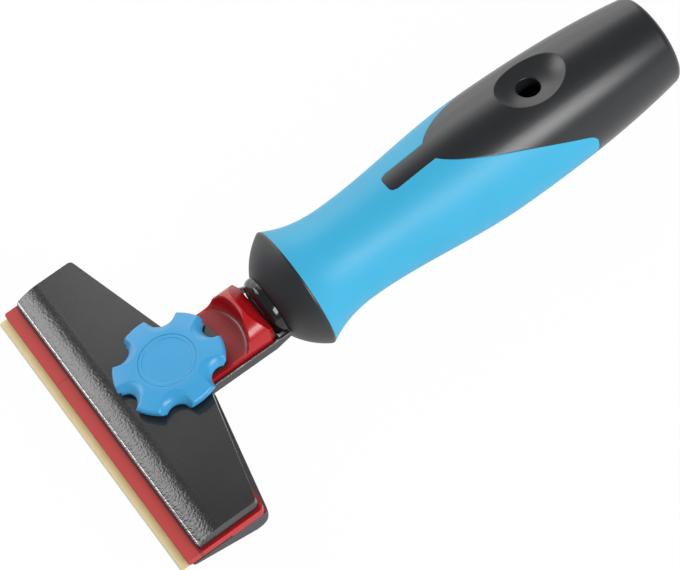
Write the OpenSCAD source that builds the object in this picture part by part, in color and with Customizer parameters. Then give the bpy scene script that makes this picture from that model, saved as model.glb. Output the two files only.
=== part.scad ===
// Window scraper with a clamped, sliding blade carrier and a handle that takes a pole.
// Sizes are in millimetres. The tool is drawn from the middle of the blade's edge:
// X runs along the blade, Y back to the end of the handle, Z up from the blade's upper face.
// placed() then moves every piece, so that the origin is at the middle of the bottom.

/* [Blade] */
// Length of the blade
blade_len = 100; // [80:1:120]
// Depth of the blade from its edge to its back
blade_depth = 16; // [13:0.5:18]
// Thickness of the blade
blade_t = 0.5; // [0.3:0.1:0.8]
// Width of the ground bevel at the edge
blade_bevel = 0.5; // [0.3:0.1:2]
// How far the edge stands out of the carrier's bar
blade_out = 2.6; // [1.5:0.1:4]
// Radius of the pegs that hold the blade
peg_r = 1.5; // [1:0.1:2]
// Distance between the two pegs
peg_span = 60; // [40:1:72]

/* [Blade carrier] */
// How far the bar passes the blade at each end
bar_over = 0.3; // [0.2:0.1:1]
// Height of the bar above the blade
bar_h = 2; // [1.6:0.1:3]
// Radius along the front of the bar
bar_round = 0.3; // [0.2:0.1:1.5]
// Width of the bar that shows in front of the clamp plate
bar_show = 4.4; // [3:0.1:6]
// How far the bar passes the plate at the back of its ends
bar_back = 0.9; // [0.2:0.1:1.2]
// How far the bar stays inside the plate's back edge at the neck
bar_in = 5; // [0.5:0.1:6]
// How far the carrier slides forward for a blade change
travel = 6; // [4:0.5:7]
// Width of the tail that runs in the neck
tail_w = 20.6; // [19:0.2:22]
// Height of the thumb ridge above the tail
ridge_h = 7.5; // [6:0.1:10]
// Radius of the ridge's shoulders
ridge_round = 8; // [5:0.1:8]
// Thickness of the ridge at its top
ridge_t = 1; // [0.8:0.1:4]
// Length of the slope down the ridge's back
ridge_lean = 3.9; // [1:0.1:5]
// Height of that slope
ridge_bevel = 6.3; // [1:0.1:7]
// Size of the cut across the tail's back corners
tail_cut = 1.8; // [0.5:0.1:3]
// Distance from the knob to the scoop's wall with the carrier slid forward
scoop_gap = 1.2; // [1:0.1:3]
// Radius at the foot of the scoop's wall
scoop_round = 2.3; // [1:0.1:2.6]

/* [Clamp plate] */
// Width of the plate
plate_w = 99; // [79:1:118]
// Depth of the plate at its ends
plate_end = 19; // [16:0.5:22]
// Extra depth of the plate at the neck
plate_taper = 8.9; // [7:0.1:11]
// Depth of the front that rolls down
facet = 8; // [5:0.5:9]
// Height of the plate's front edge
plate_front_h = 1.8; // [1.4:0.1:2.4]
// Height of the plate's top above its rim
plate_h = 3.6; // [3.2:0.1:5]
// Thickness of the plate
sheet = 0.8; // [0.6:0.1:1.4]
// Radius of the plate's back corners
plate_round = 1.5; // [0.5:0.1:3]
// Width of the tongue under the knob
tongue_w = 18.6; // [14:0.2:20]
// How far the tongue's round end stays inside the knob's edge
tongue_in = 0.6; // [0.5:0.1:2]

/* [Clamp knob] */
// Distance from the plate's front edge to the knob's axis
knob_in = 22.8; // [21:0.1:24]
// Radius over the lobes
knob_r = 15.7; // [13:0.1:17]
// Height of the knob's rim
knob_h = 3.3; // [3:0.1:6]
// Rise of the knob's crown above its rim
crown = 0.6; // [0.3:0.1:1.5]
// Number of lobes
lobes = 6; // [4:1:8]
// Depth of the notches between the lobes
notch_d = 2.1; // [1:0.1:3]
// Radius of a notch at the knob's underside
notch_r = 3.2; // [2:0.1:4]
// How much a notch opens towards the top
notch_open = 2.6; // [0:0.1:3]
// Angle of the first notch
notch_turn = 37.5; // [0:0.5:60]
// Chamfer around the knob's foot
knob_foot = 1.4; // [0.2:0.1:1.6]
// Radius around the knob's brow
knob_brow = 1; // [0.4:0.1:1.5]
// Radius of the cap in the knob's crown
cap_r = 8.2; // [6.5:0.1:9]
// Thickness of the cap
cap_t = 0.9; // [0.7:0.1:1.2]
// Width of the raised lip around the cap
cap_lip = 1; // [0.5:0.1:2]
// Height of the raised lip
cap_sink = 0.2; // [0.1:0.05:0.4]

/* [Clamp screw] */
// Radius of the screw
screw_r = 2.95; // [2:0.05:3.2]
// Width across the flats of the screw's head and the nut
hex_af = 10; // [8:0.5:10]
// Height of the screw's head
head_h = 1.7; // [1.2:0.1:2]
// Thickness of the nut
nut_t = 3.2; // [2.4:0.1:3.6]
// Outer radius of the washer
washer_r = 7; // [6:0.1:8]
// Thickness of the washer
washer_t = 0.6; // [0.5:0.1:1]

/* [Base and neck] */
// Thickness of the base shoe at its back
base_t = 4.3; // [4:0.1:6]
// Thickness of the base shoe at its front edge
base_front_t = 0.6; // [0.4:0.1:1.5]
// Length of the slope under the base shoe
base_slope = 19; // [12:0.5:22]
// Radius along the base shoe's back
base_round = 3.8; // [2:0.1:3.9]
// How far the base shoe passes the plate at the back of its ends
base_lip = 1.3; // [0.5:0.1:2]
// How far the base shoe passes the plate at the neck
neck_lip = 0.3; // [0.3:0.1:1]
// How far the boss under the neck passes the nut at its back
boss_out = 2.4; // [2:0.1:3]
// Material beside the nut in that boss
boss_wall = 1.5; // [1:0.1:2.5]
// Distance from the bar's front back to the base shoe's front
base_set = 1; // [0.5:0.1:2]
// Radius of the head's front corners
corner_front = 0.8; // [0.3:0.1:1.5]
// Radius of the base shoe's and the bar's back corners
corner_back = 1.8; // [0.5:0.1:3]
// Height of the block that lifts the neck above the base shoe
riser_h = 1.2; // [0.8:0.1:2]
// Thickness of the neck's sheet
neck_sheet = 0.8; // [0.6:0.1:1.2]
// Height of the neck's side walls
wall_h = 3; // [2:0.1:3.6]
// How much the side walls fall towards the collar
wall_fall = 1.3; // [0:0.1:1.8]
// Length over which the walls fall and draw in
wall_draw = 5.2; // [4:0.1:6]
// How far the side walls draw in towards the collar
neck_in = 0.9; // [0:0.1:1]
// Radius of the rivets
rivet_r = 1.4; // [1:0.1:1.5]
// Depth of the rivets in the base shoe
rivet_in = 2.6; // [2:0.1:3]
// Distance from the front of the neck to the rivets
rivet_edge = 2.7; // [2.4:0.1:3.5]

/* [Collar and tang] */
// Outer radius of the collar
collar_r = 9.4; // [8:0.1:9.6]
// Thickness of the collar
collar_t = 3.2; // [2.6:0.1:4]
// Radius around the collar's front
collar_round = 2.4; // [1:0.1:2.5]
// Radius of the tang
tang_r = 5; // [4:0.1:5.5]
// Radius of the tang's thread
thread_r = 4; // [3:0.1:4.5]
// Width across the flats of the tang's nut
tang_nut_af = 13; // [11:0.5:13.5]
// Thickness of the tang's nut
tang_nut_t = 6.5; // [4:0.1:8]
// Outer radius of the tang's washer
tang_washer_r = 7.9; // [7:0.1:8]
// Thickness of the tang's washer
tang_washer_t = 1.6; // [1:0.1:2.5]
// How far the tang's thread passes its nut
thread_end = 0.7; // [0.3:0.1:2]
// Height of the handle's axis above the blade
axis_h = 3; // [2:0.1:4]

/* [Handle] */
// Radius at the front of the nose
nose_r = 9.6; // [8.8:0.1:11]
// Length of the nose, from its front to the flare
nose_len = 9; // [6:0.5:14]
// Angle at which the nose meets the flare's rim
nose_fall = 30; // [15:1:40]
// Radius of the flare
flare_r = 18.15; // [16:0.05:20]
// Radius of the flare's rolled rim
rim_round = 0.8; // [0.5:0.1:1.5]
// Distance from the top of that rim back to the seam with the grip
rim_set = 0.35; // [0.1:0.05:0.7]
// Radius of the waist
waist_r = 14.2; // [13:0.1:15.5]
// Distance from the flare to the waist
waist_at = 16.7; // [12:0.1:25]
// Radius of the belly
belly_r = 17.7; // [16:0.05:19]
// Distance from the flare to the belly
belly_at = 64.7; // [50:0.1:70]
// Radius at the rear end
end_r = 13.6; // [13:0.1:16]
// Distance from the flare to the rear end
handle_len = 121.3; // [112:0.1:140]
// Radius of the rear edge
end_round = 2.2; // [0.5:0.1:2.8]
// Slope of the grip just behind the flare
flare_slope = 0.55; // [0.3:0.05:0.8]
// Slope of the body at the rear end
end_slope = 0.18; // [0:0.01:0.3]

/* [Grip] */
// Thickness of the grip
grip_t = 2; // [1.2:0.1:2.6]
// Distance from the flare to the front of the rear body on top
grip_top = 47.6; // [40:0.1:55]
// Distance from the flare to the end of the grip at the sides
grip_len = 90; // [80:0.1:100]
// Height above the axis at which the grip's edge meets its end
grip_drop = 0.8; // [0:0.1:6]
// Bow of the grip's slanting edge
grip_bow = 2.3; // [0:0.1:3]
// Radius of the grip's rear tips
tip_r = 5; // [1:0.1:6]
// Width of the strap on top
strap_w = 6.2; // [4:0.1:9]
// Length of the strap in front of the rear body
strap_len = 13.8; // [8:0.1:20]
// Radius of the strap's front corners
strap_round = 1.8; // [0.2:0.1:1.9]

/* [Pole socket] */
// Radius of the pole socket
socket_r = 10.5; // [9:0.1:10.8]
// Depth of the pole socket
socket_d = 48; // [46:0.5:55]
// Chamfer at the mouth of the socket
mouth = 0.8; // [0.4:0.1:1.2]
// Radius of the lock hole
lock_r = 3.4; // [2.5:0.1:4.5]
// Distance from the rear end to the lock hole
lock_in = 39.8; // [36:0.1:42]
// Radius of the finger dish
dish_r = 18; // [14:0.1:24]
// Depth of the finger dish
dish_d = 3.6; // [1.5:0.1:4]
// Distance from the lock hole back to the middle of the dish
dish_at = 1.6; // [0:0.1:3]

/* [Hidden] */
$fn = 64;

// Clearances: between close faces, in a running thread, in a drilled hole, around the slide
run_gap = 0.1;
thread_gap = 0.05;
hole_gap = 0.35;
slide_gap = 0.2;
// Overlap that lets a cut pass its surface, and a union share a volume
over = 1;
// Share of the neck's sheet that a rivet's head takes
sink = 0.8;
// Steps in a rounded corner, and along the plate's front, the nose, each side of its rim, the grip
// and the whole handle
arc_n = 6;
roll_n = 8;
nose_n = 8;
rim_n = 4;
grip_n = 28;
body_n = 40;

black_paint = [0.09, 0.09, 0.1];
dark_plastic = [0.18, 0.18, 0.19];
red_plastic = [0.72, 0.16, 0.16];
blue_plastic = [0.27, 0.63, 0.86];
blue_grip = [0.25, 0.7, 0.88];
blade_tan = [0.8, 0.71, 0.5];
zinc = [0.7, 0.71, 0.73];

// Heights, from the blade's upper face
base_top = -blade_t - run_gap;
base_bottom = base_top - base_t;
bar_top = bar_h;
rim_z = bar_top + slide_gap;
plate_top = rim_z + plate_h;
sheet_drop = sheet / cos(atan2(plate_h - plate_front_h, facet));
plate_under = plate_top - sheet_drop;
neck_bottom = base_top + riser_h;
neck_floor = neck_bottom + neck_sheet;
wall_top = neck_bottom + wall_h;
tail_bottom = neck_floor + run_gap;
tail_top = plate_under - slide_gap;
ridge_top = tail_top + ridge_h;
washer_top = plate_top + washer_t;
knob_bottom = plate_top + slide_gap;
knob_rim = knob_bottom + knob_h;
knob_top = knob_rim + crown;
cap_bottom = knob_top - cap_t;
head_bottom = cap_bottom - head_h;
nut_recess = (base_t - nut_t) / 2;
nut_bottom = base_bottom + nut_recess;

// Stations along Y, from the blade's edge
bar_front = blade_out;
plate_front = bar_front + bar_show;
bend_y = plate_front + facet;
plate_back_end = plate_front + plate_end;
plate_back = plate_back_end + plate_taper;
knob_y = plate_front + knob_in;
block_d = 2.8;
block_front = bend_y + travel + slide_gap;
riser_front = block_front + block_d + slide_gap;
base_front = bar_front + base_set;
base_back_end = plate_back_end + base_lip;
base_back = plate_back + neck_lip;
boss_back = knob_y + hex_af / 2 + boss_out;
tongue_r = knob_r - tongue_in;
scoop_y = knob_y + travel;
scoop_r = knob_r + scoop_gap;
ridge_crease = scoop_y + scoop_r + ridge_t;
tail_end = ridge_crease + ridge_lean;
tail_gap = 0.6;
collar_front = tail_end + tail_gap;
nose_front = collar_front + collar_t;
wall_front = plate_back + slide_gap;
wall_end = nose_front - slide_gap;
draw_y = wall_end - wall_draw;
flare_y = nose_front + nose_len;
seam_r = flare_r - rim_round + sqrt(rim_round ^ 2 - rim_set ^ 2);
waist_y = flare_y + waist_at;
belly_y = flare_y + belly_at;
end_y = flare_y + handle_len;
grip_top_y = flare_y + grip_top;
grip_end_y = flare_y + grip_len;
strap_front = grip_top_y - strap_len;
socket_bottom = end_y - socket_d;
nut_room = tang_washer_t + tang_nut_t + thread_end + slide_gap;
tang_seat = socket_bottom - nut_room;
lock_y = end_y - lock_in;
dish_y = lock_y + dish_at;

// Half widths
bar_half = blade_len / 2 + bar_over;
plate_half = plate_w / 2;
tail_half = tail_w / 2;
neck_inner = tail_half + slide_gap;
neck_half = neck_inner + neck_sheet;
wall_in = min(neck_in, neck_inner - collar_r - run_gap);
tongue_half = tongue_w / 2;
notch_half = neck_half + slide_gap;
slot_half = screw_r + hole_gap;
rivet_x = (neck_half + hex_af / 2 / cos(30)) / 2;
boss_half = hex_af / 2 / cos(30) + boss_wall;
rivet_y = riser_front + rivet_edge;

lift = max(flare_r, belly_r) - axis_h;

module placed() translate([0, -end_y / 2, lift]) children();

// An arc of points that rounds the corner b between a and c, and a whole outline so rounded
function unit(v) = v / norm(v);
function corner(a, b, c, r) =
  let (
    u = unit(a - b),
    v = unit(c - b),
    half = acos(u * v) / 2,
    m = b + unit(u + v) * r / sin(half),
    s = b + u * r / tan(half) - m,
    e = b + v * r / tan(half) - m,
    a0 = atan2(s[1], s[0]),
    turn = (atan2(e[1], e[0]) - a0 + 540) % 360 - 180
  )
  r == 0 ? [b] : [for (k = [0 : arc_n]) m + r * [cos(a0 + turn * k / arc_n), sin(a0 + turn * k / arc_n)]];
function rounded(p, r) =
  let (n = len(p))
  [for (i = [0 : n - 1]) each corner(p[(i + n - 1) % n], p[i], p[(i + 1) % n], r[i])];

// Radius of the handle's outline at a station: three smooth spans between flare, waist, belly and end
function span(p0, m0, p1, m1, s) =
  p0 * (2 * s ^ 3 - 3 * s ^ 2 + 1) + m0 * (s ^ 3 - 2 * s ^ 2 + s)
  + p1 * (3 * s ^ 2 - 2 * s ^ 3) + m1 * (s ^ 3 - s ^ 2);
function handle_r(y) =
  y < waist_y ? span(seam_r, -flare_slope * waist_at, waist_r, 0, (y - flare_y) / waist_at)
  : y < belly_y ? span(waist_r, 0, belly_r, 0, (y - waist_y) / (belly_y - waist_y))
  : span(belly_r, 0, end_r, -end_slope * (end_y - belly_y), (y - belly_y) / (end_y - belly_y));

// Points of the outline from one station to another, offset inwards
function outline(y0, y1, inset, n) =
  [for (k = [0 : n]) let (y = y0 + (y1 - y0) * k / n) [handle_r(y) - inset, y]];

// The nose: an arc from its front edge to the flare's rim, which it meets at nose_fall, and the rolled rim
function nose_points() =
  let (
    rim = [flare_r - rim_round, flare_y - rim_set],
    meet = rim + rim_round * [cos(nose_fall), -sin(nose_fall)],
    chord = meet - [nose_r, nose_front],
    lean = atan2(chord[0], chord[1]),
    sweep = 2 * (lean - nose_fall),
    r = norm(chord) / (2 * sin(sweep / 2)),
    centre = meet - r * [cos(nose_fall), -sin(nose_fall)],
    seam = asin(rim_set / rim_round)
  )
  concat(
    [for (k = [0 : nose_n]) let (a = nose_fall + sweep * (1 - k / nose_n)) centre + r * [cos(a), -sin(a)]],
    [for (k = [1 : rim_n]) let (a = nose_fall * (1 - k / rim_n)) rim + rim_round * [cos(a), -sin(a)]],
    [for (k = [1 : rim_n]) let (a = seam * k / rim_n) rim + rim_round * [cos(a), sin(a)]]
  );

module turned(points)
  translate([0, 0, axis_h]) rotate([-90, 0, 0]) rotate_extrude($fn = 128) polygon(points);
module along_y(r, y0, y1) turned([[0, y0], [r, y0], [r, y1], [0, y1]]);
module upright(r, z0, z1) translate([0, 0, z0]) cylinder(r = r, h = z1 - z0);
module hexagon(af, z0, z1) translate([0, 0, z0]) cylinder(r = af / 2 / cos(30), h = z1 - z0, $fn = 6);

// A side outline of [y, z] points, drawn across the tool over a width
module across(width, points)
  translate([-width / 2, 0, 0]) rotate([90, 0, 90]) linear_extrude(width) polygon(points);

// A box from its lowest to its highest corner
module block(low, high) translate(low) cube(high - low);

// The waste outside a rounded edge along X, for material at y < 0 and z > 0
module edge_waste(length, r)
  across(length, concat(
    [for (k = [0 : arc_n]) let (a = 90 * k / arc_n) [-r + r * sin(a), r - r * cos(a)]],
    [[over, r], [over, -over], [-r, -over]]
  ));

// The winged plan of the head: straight front and ends, back edges that run out to the neck
function wing_plan(half, front, back_end, neck, back) =
  [[-half, front], [half, front], [half, back_end], [neck, back], [-neck, back], [-half, back_end]];

module base_shoe() color(dark_plastic) placed()
  difference() {
    union() {
      intersection() {
        translate([0, 0, base_bottom - over]) linear_extrude(base_t + 2 * over)
          polygon(rounded(
            [
              [-bar_half, base_front], [bar_half, base_front], [bar_half, base_back_end],
              [neck_half, base_back], [boss_half, base_back], [boss_half, boss_back],
              [-boss_half, boss_back], [-boss_half, base_back], [-neck_half, base_back],
              [-bar_half, base_back_end]
            ],
            [corner_front, corner_front, corner_back, 0, 0, 0, 0, 0, 0, corner_back]
          ));
        across(2 * bar_half + 2 * over, [
          [base_front, base_top], [base_front, base_top - base_front_t],
          [base_front + base_slope, base_bottom], [boss_back + over, base_bottom],
          [boss_back + over, base_top]
        ]);
      }
      block([-neck_half, riser_front, base_top - over / 2], [neck_half, base_back, neck_bottom]);
      block([-boss_half, knob_y, base_top - over / 2], [boss_half, boss_back, neck_bottom]);
    }
    base_back_waste();
    translate([0, knob_y, 0]) {
      upright(screw_r + hole_gap, base_bottom - over, neck_bottom + over);
      hexagon(hex_af + 2 * run_gap, base_bottom - over, nut_bottom + nut_t);
    }
    at_rivets() upright(rivet_r, base_top - rivet_in, neck_bottom + over);
  }

// Rounds the lower back edges: of the boss, beside it, and the two that run out to the ends
module base_back_waste() {
  run = [bar_half - neck_half, base_back - base_back_end];
  middle = [(bar_half + neck_half) / 2, (base_back + base_back_end) / 2];
  translate([0, boss_back, base_bottom]) edge_waste(2 * boss_half + over, base_round);
  for (side = [-1, 1]) {
    translate([side * (boss_half + neck_half) / 2, base_back, base_bottom])
      edge_waste(neck_half - boss_half, base_round);
    translate([side * middle[0], middle[1], base_bottom]) rotate([0, 0, -side * atan2(run[1], run[0])])
      edge_waste(norm(run) + 2 * over, base_round);
  }
}

module at_rivets() for (side = [-1, 1]) translate([side * rivet_x, rivet_y, 0]) children();

module neck_channel() color(black_paint) placed()
  difference() {
    union() {
      neck_sole();
      for (side = [-1, 1]) neck_wall(side);
    }
    translate([0, knob_y, 0]) upright(screw_r + hole_gap, neck_bottom - over, neck_floor + over);
    at_rivets() rivet(neck_floor + run_gap);
  }

// The flat bottom of the neck, as far as the collar
module neck_sole() {
  end_half = neck_half - wall_in * (collar_front - draw_y) / wall_draw;
  translate([0, 0, neck_bottom]) linear_extrude(neck_sheet)
    polygon([
      [-neck_half, riser_front], [neck_half, riser_front], [neck_half, draw_y],
      [end_half, collar_front], [-end_half, collar_front], [-neck_half, draw_y]
    ]);
}

// A side wall, which draws in and falls towards the handle
module neck_wall(side)
  intersection() {
    translate([0, 0, neck_bottom]) linear_extrude(wall_h)
      polygon([
        [side * neck_inner, wall_front], [side * neck_half, wall_front], [side * neck_half, draw_y],
        [side * (neck_half - wall_in), wall_end], [side * (neck_inner - wall_in), wall_end],
        [side * neck_inner, draw_y]
      ]);
    across(2 * neck_half + 2 * over, [
      [wall_front, neck_bottom], [wall_end, neck_bottom], [wall_end, wall_top - wall_fall],
      [draw_y, wall_top], [wall_front, wall_top]
    ]);
  }

// A countersunk rivet whose head ends at a height
module rivet(top) {
  head = neck_sheet * sink;
  upright(rivet_r, base_top - rivet_in + slide_gap, top);
  translate([0, 0, neck_floor - head]) cylinder(r1 = rivet_r, r2 = rivet_r + head, h = head);
  if (top > neck_floor) upright(rivet_r + head, neck_floor, top);
}

module neck_rivets() color(zinc) placed() at_rivets() rivet(neck_floor);

module clamp_plate() color(black_paint) placed() {
  difference() {
    plate_form(0, 0, rim_z);
    plate_form(sheet, sheet_drop, rim_z - over);
    block(
      [-notch_half, plate_back - sheet - over, rim_z - over],
      [notch_half, plate_back + over, plate_under]
    );
    translate([0, knob_y, 0]) upright(screw_r + hole_gap, plate_under - over, plate_top + over);
  }
  difference() {
    intersection() {
      translate([0, knob_y, 0]) upright(tongue_r, plate_under, plate_top);
      block(
        [-tongue_half, plate_back - sheet, plate_under - over],
        [tongue_half, knob_y + knob_r, plate_top + over]
      );
    }
    translate([0, knob_y, 0]) upright(screw_r + hole_gap, plate_under - over, plate_top + over);
  }
}

// The plate as a closed form that rolls down to its front, drawn in by a wall and lowered at its top
module plate_form(wall, drop, bottom)
  intersection() {
    translate([0, 0, bottom]) linear_extrude(plate_top - bottom + over)
      polygon(rounded(
        wing_plan(plate_half - wall, plate_front + wall, plate_back_end - wall, neck_half, plate_back - wall),
        [corner_front, corner_front, plate_round, 0, 0, plate_round]
      ));
    across(plate_w + 2 * over, concat(
      [[plate_front, bottom]],
      [for (k = [0 : roll_n]) let (s = k / roll_n) [
        plate_front + facet * s,
        plate_top - drop - (plate_h - plate_front_h) * (1 - s) ^ 2
      ]],
      [[plate_back + over, plate_top - drop], [plate_back + over, bottom]]
    ));
  }

module blade_carrier() color(red_plastic) placed()
  difference() {
    union() {
      carrier_bar();
      at_pegs() upright(peg_r, base_top + 2 * run_gap, bar_top / 2);
      block([-tail_half, block_front, base_top + run_gap], [tail_half, riser_front - slide_gap, tail_top]);
      block([-tail_half, block_front, tail_bottom], [tail_half, ridge_crease, tail_top]);
      thumb_ridge();
    }
    translate([0, knob_y, 0]) {
      upright(slot_half, tail_bottom - over, tail_top + over);
      translate([0, travel, 0]) upright(slot_half, tail_bottom - over, tail_top + over);
      block([-slot_half, 0, tail_bottom - over], [slot_half, travel, tail_top + over]);
    }
  }

// The wide bar: open beneath for the blade, notched at the back for the neck's block
module carrier_bar()
  difference() {
    intersection() {
      translate([0, 0, base_top]) linear_extrude(bar_top - base_top + over)
        polygon(rounded(
          wing_plan(bar_half, bar_front, plate_back_end + bar_back, neck_half, plate_back - bar_in),
          [corner_front, corner_front, corner_back, 0, 0, corner_back]
        ));
      across(2 * bar_half + 2 * over, rounded(
        [
          [bar_front, base_top + run_gap], [bar_front, bar_top],
          [plate_back, bar_top], [plate_back, base_top + run_gap]
        ],
        [0, bar_round, 0, 0]
      ));
    }
    block(
      [-bar_half - over, bar_front - over, base_top - over],
      [bar_half + over, blade_depth + run_gap, 0]
    );
    block(
      [-notch_half, riser_front - slide_gap, base_top - over],
      [notch_half, plate_back + over, bar_top + over]
    );
  }

// The thumb ridge: an arch across the tail, sloped down its back, with a scoop that clears the knob
module thumb_ridge() {
  shoulder = [tail_half - ridge_round, ridge_top - ridge_round];
  rise = over * ridge_lean / ridge_bevel;
  wide = tail_half + over;
  cut_y = tail_end - tail_cut - over;
  difference() {
    intersection() {
      translate([0, tail_end + over, 0]) rotate([90, 0, 0]) linear_extrude(tail_end + over - scoop_y)
        union() {
          for (side = [-1, 1])
            translate([side * shoulder[0], shoulder[1]]) circle(ridge_round);
          translate([-shoulder[0], shoulder[1]]) square([2 * shoulder[0], ridge_round]);
          translate([-tail_half, tail_bottom - over]) square([tail_w, shoulder[1] + over - tail_bottom]);
        }
      across(2 * wide, [
        [scoop_y - over, tail_bottom], [tail_end, tail_bottom], [tail_end, ridge_top - ridge_bevel],
        [ridge_crease - rise, ridge_top + over], [scoop_y - over, ridge_top + over]
      ]);
      translate([0, 0, tail_bottom - over]) linear_extrude(ridge_top - tail_bottom + 3 * over)
        polygon([
          [-wide, scoop_y - over], [wide, scoop_y - over], [wide, cut_y],
          [wide - tail_cut - 2 * over, tail_end + over], [tail_cut + 2 * over - wide, tail_end + over],
          [-wide, cut_y]
        ]);
    }
    translate([0, scoop_y, 0]) rotate_extrude($fn = 96) polygon(scoop_section());
  }
}

// Half section of the scoop: flat along the tail, rounded up into a straight wall
function scoop_section() =
  concat(
    [[0, tail_top]],
    [for (k = [0 : arc_n]) let (a = 90 * k / arc_n) [
      scoop_r - scoop_round + scoop_round * sin(a),
      tail_top + scoop_round - scoop_round * cos(a)
    ]],
    [[scoop_r, ridge_top + over], [0, ridge_top + over]]
  );

module at_pegs()
  for (side = [-1, 1]) translate([side * peg_span / 2, bar_front + blade_depth / 2, 0]) children();

module scraper_blade() color(blade_tan) placed()
  difference() {
    across(blade_len, [[0, -blade_t], [blade_depth, -blade_t], [blade_depth, 0], [blade_bevel, 0]]);
    at_pegs() upright(peg_r + run_gap, -blade_t - over, over);
  }

module clamp_knob() color(blue_plastic) placed() translate([0, knob_y, 0])
  difference() {
    rotate_extrude($fn = 128) polygon(knob_section());
    for (k = [0 : lobes - 1])
      rotate([0, 0, notch_turn + k * 360 / lobes])
        translate([knob_r - notch_d + notch_r, 0, knob_bottom - over])
          cylinder(r1 = notch_r, r2 = notch_r + notch_open, h = knob_top - knob_bottom + 2 * over);
    upright(washer_r + hole_gap, knob_bottom - over, washer_top);
    upright(screw_r + run_gap, knob_bottom - over, knob_top + over);
    hexagon(hex_af + 2 * run_gap, head_bottom, knob_top + over);
    upright(cap_r + run_gap / 2, cap_bottom, knob_top + over);
  }

// Half section of the knob: chamfered foot, rounded rim and a crown that falls away from the cap
function knob_section() =
  concat(
    [[0, knob_bottom], [knob_r - knob_foot, knob_bottom], [knob_r, knob_bottom + knob_foot]],
    [for (k = [0 : arc_n]) let (a = 90 * k / arc_n) [
      knob_r - knob_brow + knob_brow * cos(a),
      knob_rim - knob_brow + knob_brow * sin(a)
    ]],
    [for (k = [1 : arc_n]) let (s = k / arc_n) [
      (knob_r - knob_brow) * (1 - s) + cap_r * s,
      knob_rim + crown * sin(90 * s)
    ]],
    [[0, knob_top]]
  );

module knob_cap() color(blue_plastic) placed() translate([0, knob_y, cap_bottom])
  rotate_extrude($fn = 96) polygon([
    [0, 0], [cap_r, 0], [cap_r, cap_t - cap_sink], [cap_r - cap_sink, cap_t], [cap_r - cap_lip, cap_t],
    [cap_r - cap_lip - cap_sink, cap_t - cap_sink], [0, cap_t - cap_sink]
  ]);

module clamp_screw() color(zinc) placed() translate([0, knob_y, 0]) {
  tip = 0.6;
  upright(screw_r, nut_bottom + tip, head_bottom + over / 2);
  translate([0, 0, nut_bottom]) cylinder(r1 = screw_r - tip, r2 = screw_r, h = tip);
  hexagon(hex_af, head_bottom, cap_bottom);
}

module knob_washer() color(zinc) placed() translate([0, knob_y, 0])
  difference() {
    upright(washer_r, plate_top, washer_top);
    upright(screw_r + run_gap, plate_top - over, washer_top + over);
  }

module captive_nut() color(zinc) placed() translate([0, knob_y, 0])
  difference() {
    hexagon(hex_af, nut_bottom, nut_bottom + nut_t);
    upright(screw_r + thread_gap, nut_bottom - over, nut_bottom + nut_t + over);
  }

module neck_collar() color(black_paint) placed()
  turned(concat(
    [[tang_r, collar_front]],
    [for (k = [0 : arc_n]) let (a = 90 * k / arc_n) [
      collar_r - collar_round * (1 - sin(a)), collar_front + collar_round * (1 - cos(a))
    ]],
    [[collar_r, nose_front], [tang_r, nose_front]]
  ));

module tang_rod() color(zinc) placed() {
  along_y(tang_r, collar_front, tang_seat - over);
  along_y(thread_r, tang_seat - 2 * over, socket_bottom - slide_gap);
}

module handle_core() color(dark_plastic) placed()
  difference() {
    turned(concat(
      [[0, nose_front]],
      nose_points(),
      outline(flare_y, end_y - end_round, 0, body_n),
      [for (k = [1 : arc_n]) let (a = 90 * k / arc_n) [
        handle_r(end_y - end_round) - end_round * (1 - cos(a)),
        end_y - end_round + end_round * sin(a)
      ]],
      [[0, end_y]]
    ));
    grip_space(over);
    along_y(tang_r + thread_gap, nose_front - over, tang_seat + over);
    along_y(tang_washer_r + slide_gap, tang_seat, socket_bottom + over);
    along_y(socket_r, socket_bottom, end_y + over);
    turned([
      [0, end_y - mouth], [socket_r, end_y - mouth], [socket_r + mouth, end_y],
      [socket_r + mouth, end_y + over],
      [0, end_y + over]
    ]);
    translate([0, lock_y, axis_h]) cylinder(r = lock_r, h = belly_r + over);
    translate([0, dish_y, axis_h + handle_r(dish_y) - dish_d + dish_r]) sphere(dish_r, $fn = 128);
  }

module grip_sleeve() color(blue_grip) placed() grip_space(0);

// The space of the grip: a skin that stops at the rear body and the strap, and passes the outline by extra
module grip_space(extra)
  difference() {
    turned(concat(
      outline(flare_y, grip_end_y, -extra, grip_n),
      outline(grip_end_y, flare_y, grip_t, grip_n)
    ));
    rear_form();
    strap_form();
  }

// The space of the rear body: behind an edge that slants down from the top, with rounded grip tips
module rear_form() {
  top = [grip_top_y, handle_r(grip_top_y)];
  low = [grip_end_y, grip_drop];
  along = low - top;
  normal = unit([-along[1], along[0]]);
  reach = 2 * belly_r;
  bowed = [for (k = [0 : arc_n]) let (s = k / arc_n) top + along * s + normal * 4 * grip_bow * s * (1 - s)];
  start = bowed[0] - unit(bowed[1] - bowed[0]) * belly_r;
  tip = corner(bowed[arc_n - 1], low, [grip_end_y, -reach], tip_r);
  translate([0, 0, axis_h])
    across(2 * reach, concat(
      [start],
      [for (k = [0 : arc_n - 1]) bowed[k]],
      tip,
      [[grip_end_y, -reach], [end_y + over, -reach], [end_y + over, reach], [start[0], reach]]
    ));
}

// The strap on top, from the rear body forward between the sides of the grip
module strap_form()
  translate([0, 0, axis_h]) linear_extrude(belly_r + over)
    polygon(rounded(
      [
        [-strap_w / 2, strap_front], [strap_w / 2, strap_front],
        [strap_w / 2, grip_top_y + 2 * over], [-strap_w / 2, grip_top_y + 2 * over]
      ],
      [strap_round, strap_round, 0, 0]
    ));

module tang_washer() color(zinc) placed()
  difference() {
    along_y(tang_washer_r, tang_seat, tang_seat + tang_washer_t);
    along_y(thread_r + run_gap, tang_seat - over, tang_seat + tang_washer_t + over);
  }

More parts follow.
